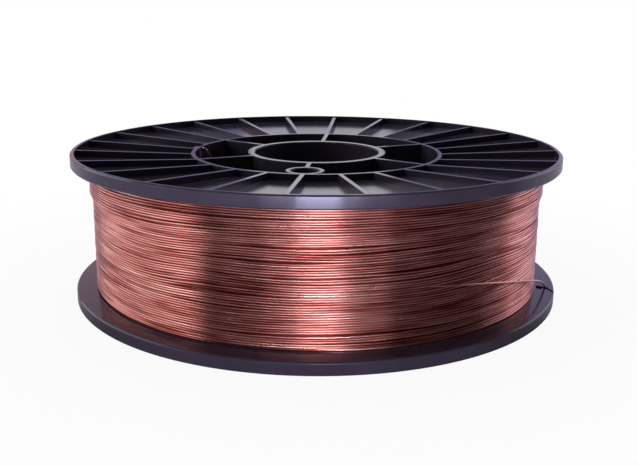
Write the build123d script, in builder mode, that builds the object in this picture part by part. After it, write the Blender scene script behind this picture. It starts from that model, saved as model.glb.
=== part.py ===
from build123d import *
import os
from math import cos, pi, radians, sin, tan

# A 5 kg spool of welding wire: a one-piece plastic moulding with two dished,
# ribbed flanges, and copper-coated steel wire wound on its barrel.
# It lies on its lower rim. Z = 0 is the floor and Z is the spindle's axis.
# Sizes are in millimetres and angles in degrees, counted from +X towards +Y.

# Flanges
flange_diameter = 200
rim_height = 4.8
rim_wall = 1.6
rim_chamfer = 0.45
web_thickness = 1.8
web_draft = 2.8

# Hub: its two faces lie a little inside the rims
hub_width = 54
rim_proud = 2.75
barrel_diameter = 104.8
barrel_wall = 1.6
bore_diameter = 52
bore_wall = 2.9
bore_chamfer = 0.4

# Ribs
flange_rib_count = 24
flange_rib_thickness = 1.7
flange_rib_drop = 0.3
core_rib_count = 6
core_rib_thickness = 1.8

# Drive hole, 44.5 from the axis, on the line of a rib
drive_angle = -95.3
drive_hole_diameter = 10.5
drive_boss_wall = 2
drive_hole_inset = 6.3

# Anchor holes near the rims, for the wire's outer end
anchor_angle = -14.6
anchor_inset = 5.8
anchor_length = 4.6
anchor_width = 2.6

# Start holes beside the barrel, for the wire's inner end, and notches for it in the barrel's ends
start_angle = 168
start_hole_gap = 1.7
start_hole_length = 4.8
start_hole_width = 3
start_notch_width = 2
start_notch_depth = 1.5

# Slit in the lower flange: it leads the wire's outer end in from the rim
slit_angle = -14.2
slit_inset = 3.5
slit_mouth_angle = -17.9
slit_width = 1.2
slit_eye_diameter = 2.2

# Wire: its last layer lies only under the upper flange, and slopes down at its lower edge
wire_diameter = 0.8
wire_sides = 6
winding_inset = 8
winding_clearance = 0.1
last_layer_rise = 1.1
last_layer_height = 9.5
last_layer_slope = 4

# Worked out from the sizes above
flange_radius = flange_diameter / 2
rim_inner_radius = flange_radius - rim_wall
barrel_radius = barrel_diameter / 2
core_radius = barrel_radius - barrel_wall
bore_radius = bore_diameter / 2
tube_radius = bore_radius + bore_wall
overall_width = hub_width + 2 * rim_proud
mid_height = overall_width / 2
hub_height = mid_height + hub_width / 2
hub_foot = mid_height - hub_width / 2
drive_radius = core_radius - drive_hole_inset
slit_eye_radius = flange_radius - slit_inset
wire_radius = wire_diameter / 2
winding_radius = flange_radius - winding_inset
winding_bore_radius = barrel_radius + winding_clearance
last_layer_radius = winding_radius + last_layer_rise
start_hole_radius = barrel_radius + start_hole_gap + start_hole_width / 2
start_notch_angle = start_angle - 0.9


def wire_side_height(radius):
    """Height of the upper web's wire side, which falls towards the barrel by the draft."""
    return overall_width - rim_height - (flange_radius - radius) * tan(radians(web_draft))


def web_middle_height(radius):
    """Height halfway through the upper web, where the ribs are rooted."""
    return wire_side_height(radius) + web_thickness / 2


def winding_end_height(radius):
    """Height of the winding's upper end, which lies along the web."""
    return wire_side_height(radius) - winding_clearance


def winding_foot_height(radius):
    """Height of the winding's lower end, which lies along the lower web."""
    return overall_width - winding_end_height(radius)


def polar(radius, angle, height=0.0):
    """A point given by its distance from the axis, its angle and its height."""
    return Vector(radius * cos(radians(angle)), radius * sin(radians(angle)), height)


def bend_radii(points):
    """The radius of each bend of a wire: as large as the runs beside it allow."""
    radii = []
    for before, corner, after in zip(points, points[1:], points[2:]):
        arriving = corner - before
        leaving = after - corner
        half_turn = radians(arriving.get_angle(leaving)) / 2
        radii.append(0.45 * min(arriving.length, leaving.length) / tan(half_turn))
    return radii


# One rib of each flange, from the barrel's wall to the rim's
rib_inner_radius = barrel_radius - barrel_wall / 2
rib_outer_radius = flange_radius - rim_wall / 2
rib_end_height = overall_width - flange_rib_drop
with BuildPart() as flange_ribs:
    with BuildSketch(Plane.XZ):
        with BuildLine():
            Polyline(
                (rib_inner_radius, web_middle_height(rib_inner_radius)),
                (rib_outer_radius, web_middle_height(rib_outer_radius)),
                (rib_outer_radius, rib_end_height),
                (barrel_radius, hub_height),
                (rib_inner_radius, hub_height),
                close=True,
            )
        make_face()
    extrude(amount=flange_rib_thickness / 2, both=True)
    mirror(about=Plane.XY.offset(mid_height))

# One rib of the core, from the bore's tube to the barrel
core_rib_length = core_radius - tube_radius + bore_wall / 2 + barrel_wall / 2
with BuildPart() as core_rib:
    with BuildSketch(Plane.XY.offset(hub_foot)):
        with Locations((tube_radius - bore_wall / 2, 0)):
            Rectangle(core_rib_length, core_rib_thickness, align=(Align.MIN, Align.CENTER))
    extrude(amount=hub_width)

with BuildPart() as spool:
    # Barrel with a dished web and a rim at each end: half the section is drawn and mirrored
    with BuildSketch(Plane.XZ) as section:
        with BuildLine():
            Polyline(
                (core_radius, mid_height),
                (barrel_radius, mid_height),
                (barrel_radius, wire_side_height(barrel_radius)),
                (flange_radius, wire_side_height(flange_radius)),
                (flange_radius, overall_width),
                (rim_inner_radius, overall_width),
                (rim_inner_radius, wire_side_height(rim_inner_radius) + web_thickness),
                (barrel_radius, wire_side_height(barrel_radius) + web_thickness),
                (barrel_radius, hub_height),
                (core_radius, hub_height),
                close=True,
            )
        make_face()
        chamfer(section.vertices().group_by(Axis.X)[-1], rim_chamfer)
        mirror(about=Plane.XZ.offset(-mid_height))
    revolve(axis=Axis.Z)

    with PolarLocations(0, flange_rib_count, start_angle=drive_angle):
        add(flange_ribs.part)

    # Bore tube, core ribs and the boss of the drive hole
    with BuildSketch(Plane.XY.offset(hub_foot)):
        Circle(tube_radius)
        with PolarLocations(drive_radius, 1, start_angle=drive_angle):
            Circle(drive_hole_diameter / 2 + drive_boss_wall)
    extrude(amount=hub_width)
    with PolarLocations(0, core_rib_count, start_angle=drive_angle):
        add(core_rib.part)

    # Bore and drive hole, each with chamfered mouths
    with BuildSketch(Plane.XY.offset(hub_foot)):
        Circle(bore_radius)
        with PolarLocations(drive_radius, 1, start_angle=drive_angle):
            Circle(drive_hole_diameter / 2)
    extrude(amount=hub_width, mode=Mode.SUBTRACT)
    round_edges = spool.edges().filter_by(GeomType.CIRCLE)
    mouths = round_edges.filter_by(lambda edge: edge.radius in (bore_radius, drive_hole_diameter / 2))
    chamfer(mouths, bore_chamfer)

    # Holes through both webs: an anchor hole near the rim and a start hole beside the barrel
    with BuildSketch():
        with PolarLocations(flange_radius - anchor_inset, 1, start_angle=anchor_angle):
            SlotOverall(anchor_length, anchor_width, rotation=90)
        with PolarLocations(start_hole_radius, 1, start_angle=start_angle):
            SlotOverall(start_hole_length, start_hole_width, rotation=90)
    extrude(amount=overall_width, mode=Mode.SUBTRACT)

    # Notches across the barrel's wall, level with its two ends
    for end_height in (hub_height, hub_foot):
        with BuildSketch(Plane.XY.offset(end_height)):
            with PolarLocations(barrel_radius - barrel_wall / 2, 1, start_angle=start_notch_angle):
                Rectangle(2 * barrel_wall, start_notch_width)
        extrude(amount=start_notch_depth, both=True, mode=Mode.SUBTRACT)

    # Slit from the lower rim to a small eye that the wire's outer end passes down
    slit_eye = polar(slit_eye_radius, slit_angle)
    slit_mouth = polar(flange_radius + slit_width, slit_mouth_angle)
    slit_path = slit_mouth - slit_eye
    with BuildSketch():
        with Locations(slit_eye):
            Circle(slit_eye_diameter / 2)
            Rectangle(
                slit_path.length,
                slit_width,
                rotation=-Vector(1, 0, 0).get_angle(slit_path),
                align=(Align.MIN, Align.CENTER),
            )
    extrude(amount=mid_height, mode=Mode.SUBTRACT)

# The winding: one turned ring of wire, seated on the barrel between the webs
last_layer_top = winding_end_height(last_layer_radius)
with BuildPart() as winding:
    with BuildSketch(Plane.XZ):
        with BuildLine():
            Polyline(
                (winding_bore_radius, winding_foot_height(winding_bore_radius)),
                (winding_radius, winding_foot_height(winding_radius)),
                (winding_radius, last_layer_top - last_layer_height - last_layer_slope),
                (last_layer_radius, last_layer_top - last_layer_height),
                (last_layer_radius, last_layer_top),
                (winding_bore_radius, winding_end_height(winding_bore_radius)),
                close=True,
            )
        make_face()
    revolve(axis=Axis.Z)

# The wire's outer end: it crosses the wound face, then springs clear and passes down the slit's eye.
# Each of its last points is given by its distance in from the eye, its angle past the eye and its height.
lay_angles = [-62, -54, -46, -38.5, -31, -24, -18]
lay_heights = [24.2, 22.5, 20.4, 17.9, 15.1, 12, 9.3]
lay_clearance = 0.45
tail_points = [
    polar(winding_radius + wire_radius + lay_clearance, angle, height)
    for angle, height in zip(lay_angles, lay_heights)
]
eye_steps = [(2.1, -1.4, 8.5), (0.3, -0.2, 6.2), (0, 0, 1.8)]
tail_points += [
    polar(slit_eye_radius - inward, slit_angle + angle, height) for inward, angle, height in eye_steps
]
tail_radii = bend_radii(tail_points)
with BuildPart() as wire_tail:
    with BuildLine() as tail_path:
        FilletPolyline(*tail_points, radius=tail_radii)
    with BuildSketch(Plane(tail_path.line @ 0, z_dir=tail_path.line % 0)):
        RegularPolygon(wire_radius, wire_sides)
    sweep()

# The wire's inner end: it rises through the start hole, lies in the barrel's notch and hooks down into
# the core. Each point of the hook is given by its distance in from the core's wall, its angle past the
# start hole and its drop below the hub's face, with both distances in wire diameters.
hook_steps = [
    (0.5, -1.2, 0.9),
    (2, -2.2, 2.8),
    (1.9, -5.2, 5.8),
    (2.2, -9, 10.5),
    (3.2, -8, 16),
    (3.7, -2.5, 18.5),
    (3, 3, 15.5),
    (1.9, 6.5, 10),
    (1.3, 8.2, 5.4),
    (1.1, 7.6, 1.6),
]
start_points = [
    polar(start_hole_radius, start_angle + 0.4, winding_end_height(start_hole_radius) + wire_radius),
    polar(start_hole_radius, start_angle + 0.4, hub_height - 0.9 * wire_diameter),
]
start_points += [
    polar(core_radius - inward * wire_diameter, start_angle + angle, hub_height - drop * wire_diameter)
    for inward, angle, drop in hook_steps
]
start_radii = bend_radii(start_points)
with BuildPart() as wire_start:
    with BuildLine() as start_path:
        FilletPolyline(*start_points, radius=start_radii)
    with BuildSketch(Plane(start_path.line @ 0, z_dir=start_path.line % 0)):
        RegularPolygon(wire_radius, wire_sides)
    sweep()

os.makedirs("parts", exist_ok=True)
spool.part.label = "spool"
export_step(spool.part, "parts/spool.step")
winding.part.label = "wire_winding"
export_step(winding.part, "parts/wire_winding.step")
wire_tail.part.label = "wire_tail"
export_step(wire_tail.part, "parts/wire_tail.step")
wire_start.part.label = "wire_start"
export_step(wire_start.part, "parts/wire_start.step")

wire_section = wire_sides / 2 * wire_radius**2 * sin(2 * pi / wire_sides)
for wire, path, radii in [(wire_tail, tail_path, tail_radii), (wire_start, start_path, start_radii)]:
    name = wire.part.label
    length = path.wire().length
    print(name, "length", round(length, 2), "bend radii", [round(radius, 1) for radius in radii])
    print(name, "volume over section times length", round(wire.part.volume / (wire_section * length), 4))
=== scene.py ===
"""Looks of a 5 kg spool of copper-coated welding wire, in metres, with +Z up.

The spool is one glossy black moulding and lies on its lower rim. Its wire is wound in turns
between the two dished flanges, and shows at the sides as a stack of thin round turns.
"""

import bpy
import numpy as np
from mathutils import Matrix, Vector


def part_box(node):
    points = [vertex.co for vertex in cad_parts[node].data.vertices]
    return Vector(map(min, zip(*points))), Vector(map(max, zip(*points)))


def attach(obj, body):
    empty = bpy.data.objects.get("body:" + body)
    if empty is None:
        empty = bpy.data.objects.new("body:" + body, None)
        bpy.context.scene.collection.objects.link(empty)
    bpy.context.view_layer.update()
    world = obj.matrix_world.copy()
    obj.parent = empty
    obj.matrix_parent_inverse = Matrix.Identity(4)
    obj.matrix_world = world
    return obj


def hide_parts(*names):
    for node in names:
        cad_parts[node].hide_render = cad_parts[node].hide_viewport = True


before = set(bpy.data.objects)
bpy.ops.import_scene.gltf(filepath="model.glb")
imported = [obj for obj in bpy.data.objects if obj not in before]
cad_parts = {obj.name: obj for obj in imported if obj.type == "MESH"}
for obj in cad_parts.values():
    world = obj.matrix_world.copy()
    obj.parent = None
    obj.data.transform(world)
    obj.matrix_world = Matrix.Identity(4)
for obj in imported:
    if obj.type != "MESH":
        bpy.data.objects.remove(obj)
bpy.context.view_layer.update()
MM = 0.001

# Sizes read from the frame
spool_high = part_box("spool")[1]
flange_radius = spool_high.x
overall_width = spool_high.z
mid_height = overall_width / 2

# Sizes of the moulded spool
rim_height = 4.8 * MM
web_slope = np.tan(np.radians(2.8))
hub_width = 54 * MM
hub_height = mid_height + hub_width / 2
barrel_radius = 52.4 * MM
core_radius = 50.8 * MM

# Sizes of the wire and of its wound face
wire_radius = 0.4 * MM
wire_diameter = 2 * wire_radius
face_depth = 8 * MM
face_radius = flange_radius - face_depth
last_layer_rise = 1.1 * MM
last_layer_foot = 40.8 * MM
last_layer_ramp = 4 * MM
flare_size = 0.3 * MM
flare_top = 11 * MM
flare_drop = 6 * MM


# Shapes

def grid_faces(rows, columns, close_rows=False):
    """Quads between neighbouring points of a grid that is stored row by row, each row a closed ring."""
    row = np.arange(rows if close_rows else rows - 1)[:, None]
    column = np.arange(columns)[None, :]
    next_row, next_column = (row + 1) % rows, (column + 1) % columns
    corners = (
        row * columns + column,
        row * columns + next_column,
        next_row * columns + next_column,
        next_row * columns + column,
    )
    return np.stack(np.broadcast_arrays(*corners), axis=-1).reshape(-1, 4)


def make_piece(name, points, faces, material, caps=(), attributes=None, sharp_angle=50):
    """A piece from arrays of points and quads, with caps as single many-sided faces.

    Each attribute has a name and one value for each point.
    """
    mesh = bpy.data.meshes.new(name)
    mesh.from_pydata(points.reshape(-1, 3).tolist(), [], faces.tolist() + [list(cap) for cap in caps])
    mesh.update()
    mesh.polygons.foreach_set("use_smooth", np.ones(len(mesh.polygons), bool))
    mesh.set_sharp_from_angle(angle=np.radians(sharp_angle))
    mesh.materials.append(material)
    for key, values in (attributes or {}).items():
        attribute = mesh.attributes.new(key, "FLOAT", "POINT")
        attribute.data.foreach_set("value", values.astype(np.float32).ravel())
    piece = bpy.data.objects.new(name, mesh)
    bpy.context.scene.collection.objects.link(piece)
    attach(piece, "root")
    return piece


def polar(radius, angle, height):
    """A point given by its distance from the axis, its angle in degrees and its height."""
    return np.array([radius * np.cos(np.radians(angle)), radius * np.sin(np.radians(angle)), height])


def rounded_path(corners, steps=10):
    """A smooth line through a route: each corner becomes a parabola between its runs' middles.

    Between middles a and b with corner c, the point at t is (1-t)^2 a + 2t(1-t) c + t^2 b.
    """
    corners = np.array(corners)
    middles = (corners[1:] + corners[:-1]) / 2
    start, corner, end = middles[:-1, None], corners[1:-1, None], middles[1:, None]
    t = np.linspace(0, 1, steps, endpoint=False)[None, :, None]
    bends = (1 - t) ** 2 * start + 2 * t * (1 - t) * corner + t**2 * end
    return np.vstack([corners[:1], bends.reshape(-1, 3), middles[-1:], corners[-1:]])


def round_tube(path, radius, across, sides=12):
    """Rings of points round a path, each at its middle + radius (cos a first + sin a second).

    The first direction is the tangent x across, and the second is the tangent x the first.
    """
    tangent = np.gradient(path, axis=0)
    tangent /= np.linalg.norm(tangent, axis=1, keepdims=True)
    first = np.cross(tangent, across)
    first /= np.linalg.norm(first, axis=1, keepdims=True)
    second = np.cross(tangent, first)
    turn = np.linspace(0, 2 * np.pi, sides, endpoint=False)[None, :, None]
    return path[:, None] + radius * (np.cos(turn) * first[:, None] + np.sin(turn) * second[:, None])


def end_caps(rings, sides):
    """The first ring and the last ring of a tube, as faces that look outwards."""
    first = np.arange(sides)[::-1]
    last = (rings - 1) * sides + np.arange(sides)
    return [first.tolist(), last.tolist()]


def lower_web(radius):
    """Height of the lower web's wire side: it rises towards the barrel by the web's slope."""
    return rim_height + (flange_radius - radius) * web_slope


def upper_web(radius):
    """Height of the upper web's wire side, the mirror image of the lower one's."""
    return overall_width - lower_web(radius)


def crest_radius(height):
    """Radius of the wound face: level, with the last layer's rise near the top and a small flare below.

    The rise is a smooth step, 3t^2 - 2t^3 of its height, and the flare grows with the square of the drop.
    """
    t = np.clip((height - last_layer_foot) / last_layer_ramp, 0, 1)
    rise = last_layer_rise * (3 * t**2 - 2 * t**3)
    flare = flare_size * np.clip((flare_top - height) / flare_drop, 0, 1) ** 2
    return face_radius + rise + flare


# Materials

# Most of a noise texture lies between these two values
noise_low = 0.3
noise_high = 0.7


def set_inputs(node, inputs):
    """Links each of these inputs to another node's output, or sets it to a plain value."""
    for socket, value in inputs.items():
        if isinstance(value, bpy.types.NodeSocket):
            node.id_data.links.new(value, node.inputs[socket])
        else:
            node.inputs[socket].default_value = value


def node_adder(tree):
    """A function that adds a node of some kind to the tree, with its inputs and other settings."""

    def add(kind, inputs=None, **settings):
        node = tree.nodes.new(kind)
        for key, value in settings.items():
            setattr(node, key, value)
        set_inputs(node, inputs or {})
        return node

    return add


def new_material(name):
    """A material with its shader and a function that adds nodes to it."""
    material = bpy.data.materials.new(name)
    material.use_nodes = True
    return material, material.node_tree.nodes["Principled BSDF"], node_adder(material.node_tree)


def remap(add, value, low, high, at_low, at_high):
    """A straight line from at_low, at the value low, to at_high, at the value high, and level outside."""
    inputs = {"Value": value, "From Min": low, "From Max": high, "To Min": at_low, "To Max": at_high}
    return add("ShaderNodeMapRange", inputs).outputs["Result"]


def maths(add, operation, *values):
    """One step of arithmetic on numbers."""
    return add("ShaderNodeMath", dict(enumerate(values)), operation=operation).outputs["Value"]


def vector_maths(add, operation, *values, result="Vector"):
    """One step of arithmetic on vectors."""
    return add("ShaderNodeVectorMath", dict(enumerate(values)), operation=operation).outputs[result]


def colour_ramp(add, value, stops):
    """A colour that follows a value, through stops that are each a position and a colour."""
    ramp = add("ShaderNodeValToRGB", {"Fac": value})
    elements = ramp.color_ramp.elements
    while len(elements) < len(stops):
        elements.new(0.5)
    for element, (place, colour) in zip(elements, stops):
        element.position = place
        element.color = (*colour, 1)
    return ramp.outputs["Color"]


edge_radius = 0.25 * MM
ripple_height = 0.2 * MM


def moulded_plastic():
    """Glossy black styrene: faint flow marks in the gloss, a slight ripple and softened edges."""
    material, shader, add = new_material("moulded_plastic")
    place = add("ShaderNodeTexCoord").outputs["Object"]
    flow_marks = {"Vector": place, "Scale": 45, "Detail": 5, "Roughness": 0.6}
    flow = add("ShaderNodeTexNoise", flow_marks).outputs["Fac"]
    blacks = [(0.35, (0.037, 0.029, 0.047)), (0.65, (0.049, 0.039, 0.062))]
    edge = add("ShaderNodeBevel", {"Radius": edge_radius}, samples=8).outputs["Normal"]
    ripple = {"Height": flow, "Strength": 0.08, "Distance": ripple_height, "Normal": edge}
    surface = {
        "Base Color": colour_ramp(add, flow, blacks),
        "Roughness": remap(add, flow, noise_low, noise_high, 0.12, 0.19),
        "Normal": add("ShaderNodeBump", ripple).outputs["Normal"],
        "Specular Tint": (0.74, 0.70, 1.0, 1),
    }
    set_inputs(shader, surface)
    return material


stain_tone = 0.05
# Painted shade: how much darker the copper's tone is painted deep in the grooves between the turns
groove_painted_shade = -0.24


def coppered_wire():
    """Copper-coated drawn wire: its tone and gloss drift slowly along the wire, so turn differs from turn.

    In the grooves between the turns the copper is painted darker and redder, as painted shade. The die's
    marks run along the wire,
    so the gloss spreads light across it: the tangent is up x place, turned by a quarter.
    """
    material, shader, add = new_material("coppered_wire")
    along = add("ShaderNodeAttribute", attribute_name="along_wire").outputs["Fac"]
    drawing_marks = {"W": along, "Scale": 24, "Detail": 2, "Roughness": 0.6}
    drift = add("ShaderNodeTexNoise", drawing_marks, noise_dimensions="1D").outputs["Fac"]
    place = add("ShaderNodeTexCoord").outputs["Object"]
    stains = add("ShaderNodeTexNoise", {"Vector": place, "Scale": 38, "Detail": 3}).outputs["Fac"]
    tone = maths(add, "ADD", drift, remap(add, stains, noise_low, noise_high, -stain_tone, stain_tone))
    # Painted shade: the deeper a point lies in the groove between turns, the darker its tone is painted
    groove = add("ShaderNodeAttribute", attribute_name="groove_shade_depth").outputs["Fac"]
    tone = maths(add, "MULTIPLY_ADD", groove, groove_painted_shade, tone)
    coppers = [
        (0.14, (0.19, 0.038, 0.034)),
        (0.3, (0.45, 0.12, 0.105)),
        (0.45, (0.68, 0.255, 0.22)),
        (0.6, (0.78, 0.37, 0.325)),
        (0.78, (0.88, 0.53, 0.48)),
    ]
    surface = {
        "Base Color": colour_ramp(add, tone, coppers),
        "Roughness": remap(add, drift, noise_low, noise_high, 0.34, 0.27),
        "Tangent": vector_maths(add, "CROSS_PRODUCT", (0, 0, 1), place),
        "Anisotropic": 0.9,
        "Anisotropic Rotation": 0.25,
        "Metallic": 1.0,
    }
    set_inputs(shader, surface)
    return material


plastic = moulded_plastic()
copper = coppered_wire()

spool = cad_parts["spool"]
spool.data.materials.clear()
spool.data.materials.append(plastic)


# The wound wire

turn_count = 54
turn_steps = 200
first_turn_angle = -np.pi / 2
random = np.random.default_rng(11)

# Places round the wire, from straight outwards: a turn's hidden back is one flat face
section_angles = np.radians([-110, -66, -33, 0, 33, 66, 110])

# Gaps between the turns: their relative sizes, how often each comes, and how often they open and close
gap_sizes = [0.05, 0.35, 0.9, 1.3]
gap_chances = [0.3, 0.25, 0.3, 0.15]
fewest_waves, most_waves = 1, 5
closed_gap = 0.15

# How far the outer turns keep from the webs, stray in and out, and dip at the two ends
web_gap = 1.15 * wire_radius
wander_knots = 6
wander_size = 0.07 * MM
end_dip = 1.0 * MM
end_dip_turns = 0.03


def turn_heights(angle):
    """Height of each turn's middle at each angle, with one row more than there are turns.

    The turns stand at least a wire's diameter apart. What is left of the height is shared out as gaps.
    Each gap is its size x (closed gap + max(0, sin(waves x angle + phase))^2), so that it opens and
    closes round the spool.
    """
    lowest = lower_web(face_radius) + web_gap
    span = overall_width - 2 * lowest
    size = random.choice(gap_sizes, turn_count, p=gap_chances)[:, None]
    waves = random.integers(fewest_waves, most_waves + 1, turn_count)[:, None]
    phase = random.uniform(0, 2 * np.pi, turn_count)[:, None]
    gaps = size * (closed_gap + np.maximum(0, np.sin(waves * angle + phase)) ** 2)
    gaps *= (span - turn_count * wire_diameter) / gaps.sum(axis=0)
    steps = np.vstack([np.zeros_like(angle)[None], wire_diameter + gaps])
    return lowest + np.cumsum(steps, axis=0)


def wound_turns():
    """One long wire in a helix: turn k climbs from height k to height k + 1 over its round.

    Its middle is at ((crest - wire radius) + wander) from the axis, where the wander runs straight from
    one random value to the next, six to a turn, and its two ends dip under the wound face. A point's
    depth in the groove beside its turn is 1 - cos of its place round the wire, and 1 at the most; it
    sets how much painted shade the copper gets there.
    """
    round_once = first_turn_angle + 2 * np.pi
    angle = np.linspace(first_turn_angle, round_once, turn_steps, endpoint=False)
    share = ((angle - angle[0]) / (2 * np.pi))[None, :]
    level = turn_heights(angle)
    height = ((1 - share) * level[:-1] + share * level[1:]).ravel()
    turns = (np.arange(turn_count)[:, None] + share).ravel()
    knots = random.normal(0, wander_size, turn_count * wander_knots + 2)
    wander = np.interp(turns * wander_knots, np.arange(len(knots)), knots)
    middle = crest_radius(height) - wire_radius + wander
    distance = np.arange(len(middle)) / turn_steps
    from_end = np.minimum(distance, distance[::-1])
    middle -= end_dip * np.clip(1 - from_end / end_dip_turns, 0, 1) ** 2
    out = middle[:, None] + wire_radius * np.cos(section_angles)
    up = height[:, None] + wire_radius * np.sin(section_angles)
    around = np.tile(angle, turn_count)[:, None]
    points = np.stack([out * np.cos(around), out * np.sin(around), up], axis=-1)
    length = np.broadcast_to(turns[:, None] * 2 * np.pi * face_radius, points.shape[:2])
    depth = np.broadcast_to(np.clip(1 - np.cos(section_angles), 0, 1), points.shape[:2])
    return points, length, depth


# The layers under the outer turns: a ring whose face has a ridge for each turn of the layer below
ridge_steps = 120
ridge_crest_depth = 0.69 * MM
ridge_relief = 0.3 * MM
ridge_tone_step = 0.37
body_web_gap = 0.2 * MM
body_barrel_gap = 0.1 * MM


def wound_body():
    """The turned ring inside the wound face, with its bore, as rings of points from the bore's foot up.

    At each height of the face its radius is the crest's, less the ridges' depth, which changes between
    its two values from ring to ring. Its wire runs round it, with a step in tone from ring to ring.
    """
    shares = np.linspace(0, 1, 2 * turn_count + 1)
    face_low = lower_web(face_radius) + body_web_gap
    face_height = face_low + shares * (overall_width - 2 * face_low)
    depth = ridge_crest_depth + ridge_relief * (np.arange(len(shares)) % 2)
    bore_radius = barrel_radius + body_barrel_gap
    bore_low = lower_web(barrel_radius) + body_web_gap
    radius = np.concatenate([[bore_radius], crest_radius(face_height) - depth, [bore_radius]])[:, None]
    height = np.concatenate([[bore_low], face_height, [overall_width - bore_low]])[:, None]
    angle = np.linspace(0, 2 * np.pi, ridge_steps, endpoint=False)[None, :]
    length = np.arange(len(height))[:, None] * ridge_tone_step + angle * face_radius
    up = np.broadcast_to(height, length.shape)
    return np.stack([radius * np.cos(angle), radius * np.sin(angle), up], axis=-1), length


def make_winding():
    """The outer turns and the ring under them as one piece, with each turn's section closed behind it."""
    turns, turn_lengths, turn_shade_depths = wound_turns()
    body, body_lengths = wound_body()
    rings, sides = turns.shape[:2]
    turn_faces = grid_faces(rings, sides)[:, ::-1]
    body_faces = grid_faces(*body.shape[:2], close_rows=True) + rings * sides
    attributes = {
        "along_wire": np.concatenate([turn_lengths.ravel(), body_lengths.ravel()]),
        # Painted shade: each turn's sides are painted darker in the grooves, and the ring under the turns
        # is painted darkest
        "groove_shade_depth": np.concatenate([turn_shade_depths.ravel(), np.ones(body_lengths.size)]),
    }
    winding = make_piece(
        "winding_turns",
        np.vstack([turns.reshape(-1, 3), body.reshape(-1, 3)]),
        np.vstack([turn_faces, body_faces]),
        copper,
        caps=end_caps(rings, sides),
        attributes=attributes,
        sharp_angle=60,
    )
    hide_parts("wire_winding")


make_winding()


# The wire's two ends

def wire_end(name, route, across, node):
    """One end of the wire, as a round tube along its smoothed route.

    The tube's rings are set out from the direction across, in which the route never runs.
    """
    path = rounded_path(route)
    tube = round_tube(path, wire_radius, across)
    rings, sides = tube.shape[:2]
    steps = np.linalg.norm(np.diff(path, axis=0, prepend=path[:1]), axis=1)
    along = {"along_wire": np.broadcast_to(np.cumsum(steps)[:, None], (rings, sides))}
    faces = grid_faces(rings, sides)
    caps = end_caps(rings, sides)
    piece = make_piece(name, tube, faces, copper, caps=caps, attributes=along)
    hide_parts(node)


# The outer end lies on the wound face, and its first two points lie between the turns
lay_angles = np.array([-66, -62, -54, -46, -38.5, -31])
lay_heights = np.array([25.3, 24.6, 23, 20.9, 18.4, 15.6]) * MM
lay_sinks = np.array([2, 0.8, 0, 0, 0, 0]) * wire_radius
lay_radii = crest_radius(lay_heights) + wire_radius - lay_sinks
tail_route = [polar(*place) for place in zip(lay_radii, lay_angles, lay_heights)]

# Then it springs clear and goes down the slit's eye: mm in from the flange's edge, degrees, mm up
spring_steps = [
    (6.6, -24.4, 12.8),
    (5.3, -20.6, 10.9),
    (4.5, -17.2, 8.5),
    (3.7, -14.7, 6.1),
    (3.5, -14.2, 1.8),
]
tail_route += [polar(flange_radius - inward * MM, angle, up * MM) for inward, angle, up in spring_steps]
tail_across = polar(1, -30, 0)
wire_end("outer_wire_end", tail_route, tail_across, "wire_tail")

# The inner end comes up through the start hole and lies in the barrel's notch
start_angle = 168
hole_angle = start_angle + 0.4
hole_radius = barrel_radius + 3.2 * MM
hole_rise = 0.3 * MM
notch_depth = 1.8 * wire_radius
start_route = [
    polar(hole_radius, hole_angle, upper_web(hole_radius) + hole_rise),
    polar(hole_radius, hole_angle, hub_height - notch_depth),
]

# Then it hooks down into the core: wire diameters in from the core's wall, degrees, diameters down
hook_steps = [
    (0.5, -1.2, 0.9),
    (2, -2.2, 2.8),
    (1.9, -5.2, 5.8),
    (2.2, -9, 10.5),
    (3.2, -8, 16),
    (3.7, -2.5, 18.5),
    (3, 3, 15.5),
    (1.9, 6.5, 10),
    (1.3, 8.2, 5.4),
    (1.1, 7.6, 1.6),
]
start_route += [
    polar(core_radius - inward * wire_diameter, start_angle + angle, hub_height - down * wire_diameter)
    for inward, angle, down in hook_steps
]
start_across = polar(1, 30, 0)
wire_end("inner_wire_end", start_route, start_across, "wire_start")


# Floor, backdrop and cards

# Distances from the spindle's axis between which the floor turns from its look near the spool to its own
shadow_near, shadow_far = 0.12, 0.24

# The same for the mirrored colour's painted shade beside the spool, where distances to the front and back
# count for less
beside_near, beside_far = 0.08, 0.12
depth_share = 0.3

# A wedge to the front right, where reflections see painted shade on the floor: its middle, the cosines of
# its edge and its full part, and its start
wedge_middle = np.radians(-24)
wedge_edge, wedge_full = 0.91, 0.98
wedge_near, wedge_far = 0.125, 0.15


def mirrored_share(add, place, near_mirror, front_right_mirror):
    """How bright reflections see a pale surface, from 0 to 1.

    It is near_mirror in front of the spool and behind it, but not beside it, and rises to 1 away from
    it. Past the rim it is also multiplied by front_right_mirror in the wedge to the front right, where
    the cosine of the angle to the wedge's middle is near 1. Both dims are painted shade on the floor,
    which only reflections see.
    """
    away = vector_maths(add, "LENGTH", place, result="Value")
    outward = remap(add, away, shadow_near, shadow_far, near_mirror, 1.0)
    sideways = vector_maths(add, "MULTIPLY", place, (1, depth_share, 1))
    aside = vector_maths(add, "LENGTH", sideways, result="Value")
    beside = remap(add, aside, beside_near, beside_far, near_mirror, 1.0)
    wedge_way = (np.cos(wedge_middle), np.sin(wedge_middle), 0)
    cosine = vector_maths(
        add, "DOT_PRODUCT", vector_maths(add, "NORMALIZE", place), wedge_way, result="Value"
    )
    in_wedge = remap(add, cosine, wedge_edge, wedge_full, 1.0, front_right_mirror)
    past_rim = remap(add, away, wedge_near, wedge_far, 1.0, in_wedge)
    return maths(add, "MULTIPLY", maths(add, "MAXIMUM", outward, beside), past_rim)


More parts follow.
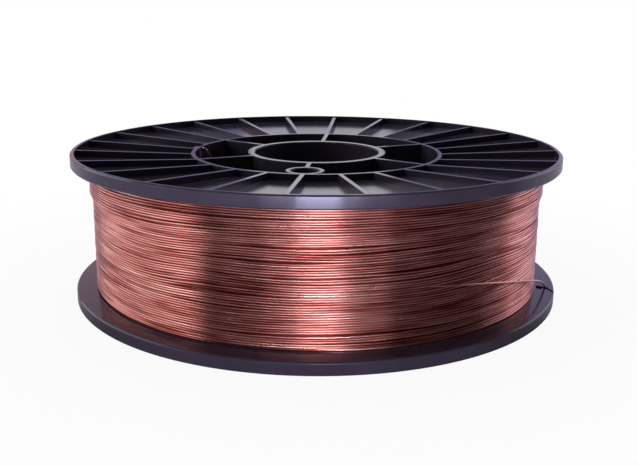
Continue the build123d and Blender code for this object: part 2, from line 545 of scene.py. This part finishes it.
def pale_surface(name, mirrored, near_shade=1.0, near_mirror=1.0, front_right_mirror=1.0):
    """A white surface: the camera sees it white, and reflections see it in a colour of its own.

    Near the spool the white gives way to a soft shadow, which falls on the plain shader below it.
    """
    material, shader, add = new_material(name)
    set_inputs(shader, {"Base Color": (0.8, 0.8, 0.8, 1), "Roughness": 0.9})
    place = add("ShaderNodeTexCoord").outputs["Object"]
    away = vector_maths(add, "LENGTH", place, result="Value")
    white = remap(add, away, shadow_near, shadow_far, near_shade, 1.0)
    mirror = mirrored_share(add, place, near_mirror, front_right_mirror)
    path = add("ShaderNodeLightPath")
    by_camera = path.outputs["Is Camera Ray"]
    reflected = maths(add, "MAXIMUM", path.outputs["Is Glossy Ray"], path.outputs["Is Transmission Ray"])
    seen = maths(add, "MAXIMUM", by_camera, reflected)
    strength = maths(add, "MAXIMUM", by_camera, mirror)

    # Inputs 6 and 7 of a Mix node are its two colours, and output 2 is the colour between them
    tints = {0: by_camera, 6: (*mirrored, 1), 7: (1, 1, 1, 1)}
    tint = add("ShaderNodeMix", tints, data_type="RGBA").outputs[2]
    glow = add("ShaderNodeEmission", {"Color": tint, "Strength": strength}).outputs["Emission"]
    layers = {0: maths(add, "MULTIPLY", seen, white), 1: shader.outputs["BSDF"], 2: glow}
    surface = add("ShaderNodeMixShader", layers).outputs["Shader"]
    set_inputs(material.node_tree.nodes["Material Output"], {"Surface": surface})
    return material


def stage_sheet(name, corners, material):
    """A flat sheet of the stage with four corners."""
    mesh = bpy.data.meshes.new(name)
    mesh.from_pydata(corners, [], [(0, 1, 2, 3)])
    mesh.materials.append(material)
    sheet = bpy.data.objects.new(name, mesh)
    bpy.context.scene.collection.objects.link(sheet)


def standing_sheet(name, left, right, distance, low, high, material):
    """An upright sheet of the stage behind the spool, square to the camera's line of sight."""
    foot = [(left, distance, low), (right, distance, low)]
    head = [(right, distance, high), (left, distance, high)]
    stage_sheet(name, foot + head, material)


floor_reach = 1.3
floor_corners = [(x * floor_reach, y * floor_reach, 0) for x, y in [(-1, -1), (1, -1), (1, 1), (-1, 1)]]
floor_shade = 0.94
# Painted shade in reflections: near the spool and in the wedge to the front right, reflections see the
# floor darker
floor_mirror = {"near_mirror": 0.2, "front_right_mirror": 0.3}
floor_paint = pale_surface("white_floor", (0.46, 0.44, 0.52), near_shade=floor_shade, **floor_mirror)
stage_sheet("floor", floor_corners, floor_paint)

# A white card on the floor in front, which widens outwards and lies where the turns mirror it
card_height = 0.4 * MM
outer_y, outer_left, outer_right = -0.357, -0.044, 0.057
inner_y, inner_left, inner_right = -0.115, -0.017, 0.020
front_corners = [
    (outer_left, outer_y, card_height),
    (outer_right, outer_y, card_height),
    (inner_right, inner_y, card_height),
    (inner_left, inner_y, card_height),
]
front_paint = pale_surface("front_card", (0.98, 0.95, 1.0), near_shade=floor_shade)
stage_sheet("front_card", front_corners, front_paint)

# A wide backdrop behind the spool
backdrop = {"left": -0.7, "right": 0.7, "distance": 0.62, "low": 0.0, "high": 0.5}
backdrop_paint = pale_surface("white_backdrop", (0.27, 0.25, 0.40))
standing_sheet("backdrop", **backdrop, material=backdrop_paint)

# A whiter card in front of the backdrop, which the upper flange mirrors
back_card = {"left": -0.075, "right": 0.075, "distance": 0.55, "low": 0.01, "high": 0.34}
back_paint = pale_surface("white_card", (0.92, 0.91, 1.0))
standing_sheet("back_card", **back_card, material=back_paint)

# A card at each side of the backdrop, which the lower flange mirrors
side_near, side_far = 0.27, 0.69
side_card = {**backdrop, "distance": backdrop["distance"] - 0.01}
left_card = {**side_card, "left": -side_far, "right": -side_near}
right_card = {**side_card, "left": side_near, "right": side_far}
left_paint = pale_surface("left_card", (0.62, 0.45, 0.54))
right_paint = pale_surface("right_card", (0.54, 0.47, 0.70))
standing_sheet("left_side_card", **left_card, material=left_paint)
standing_sheet("right_side_card", **right_card, material=right_paint)


# Lamps

white_light = (1, 1, 1)
cool_light = (0.90, 0.87, 1.0)
front_colour = (0.95, 0.93, 1.0)


def soft_light(name, place, aim, width, height, power, colour=white_light):
    """A rectangular soft light at a place, turned towards a point."""
    light = bpy.data.lights.new(name, "AREA")
    light.shape = "RECTANGLE"
    light.size = width
    light.size_y = height
    light.energy = power
    light.color = colour
    lamp = bpy.data.objects.new(name, light)
    lamp.location = place
    lamp.rotation_euler = (Vector(aim) - Vector(place)).to_track_quat("-Z", "Y").to_euler()
    bpy.context.scene.collection.objects.link(lamp)


# Tall lights at the sides, which stand on the floor and look straight across
side_light_height = 0.66


def side_light(name, x, y, width, power, colour=white_light):
    """A tall light at one side of the spool, at x and y."""
    middle = side_light_height / 2
    soft_light(name, (x, y, middle), (0, y, middle), width, side_light_height, power, colour)


side_light("left_light", -0.75, 0.05, 1.10, 3.4)
side_light("left_edge", -0.74, -0.36, 0.28, 0.50)
side_light("right_light", 0.75, 0.50, 0.66, 1.9, cool_light)
soft_light("top_light", (0.0, 0.15, 0.80), (0, 0, mid_height), 0.5, 0.4, 2.1)

# Low lights in front, below the camera: each covers the stretch of x that a part of the turns mirrors
front_distance = 0.36
fade_height = 0.034
band_height = 0.028


def front_light(name, left, right, height, power):
    """A low upright light in front, between two places along x."""
    middle = (left + right) / 2
    place = (middle, -front_distance, height / 2)
    aim = (middle, 0, height / 2)
    soft_light(name, place, aim, right - left, height, power, front_colour)


front_light("front_panel", -0.044, 0.059, band_height, 0.27)
front_light("front_band_right", 0.005, 0.056, band_height, 0.12)
front_light("front_fade_left", -0.13, -0.050, fade_height, 0.075)
front_light("front_side_left", -0.30, -0.13, fade_height, 0.05)
front_light("front_fade_right", 0.061, 0.105, fade_height, 0.046)
front_light("front_side_right", 0.105, 0.21, fade_height, 0.058)

# The room's own dim light, which the camera sees as white
room_light = 0.03
world = bpy.data.worlds.new("studio")
bpy.context.scene.world = world
world.use_nodes = True
add_to_world = node_adder(world.node_tree)
camera_ray = add_to_world("ShaderNodeLightPath").outputs["Is Camera Ray"]
room_levels = {"Factor": camera_ray, "A": room_light, "B": 1.0}
room_strength = add_to_world("ShaderNodeMix", room_levels, data_type="FLOAT").outputs["Result"]
room_inputs = {"Color": (1, 1, 1, 1), "Strength": room_strength}
set_inputs(world.node_tree.nodes["Background"], room_inputs)


# Camera, at the photograph's place: 0.35 in front of the spindle's axis, looking down by 12.7 degrees

image_width = 637
image_height = 466
focal_pixels = 836.1
picture_centre_x = 319.7
picture_centre_y = 199.8
sensor_width = 36
nearest_seen = 0.01
camera_place = Vector((1.438, -348.749, 114.023)) * MM
camera_tilt = np.radians(12.663)
camera_roll = np.radians(0.413)

forward = Vector((0, np.cos(camera_tilt), -np.sin(camera_tilt)))
level_right = Vector((1, 0, 0))
level_up = level_right.cross(forward)
right = np.cos(camera_roll) * level_right + np.sin(camera_roll) * level_up
upward = -np.sin(camera_roll) * level_right + np.cos(camera_roll) * level_up
camera_data = bpy.data.cameras.new("camera")
camera_data.sensor_width = sensor_width
camera_data.lens = focal_pixels / image_width * sensor_width
camera_data.shift_x = (image_width / 2 - picture_centre_x) / image_width
camera_data.shift_y = (picture_centre_y - image_height / 2) / image_width
camera_data.clip_start = nearest_seen
camera = bpy.data.objects.new("camera", camera_data)
turning = Matrix((right, upward, -forward)).transposed()
camera.matrix_world = Matrix.Translation(camera_place) @ turning.to_4x4()
bpy.context.scene.collection.objects.link(camera)
bpy.context.scene.camera = camera

bpy.context.scene.view_settings.view_transform = "Standard"
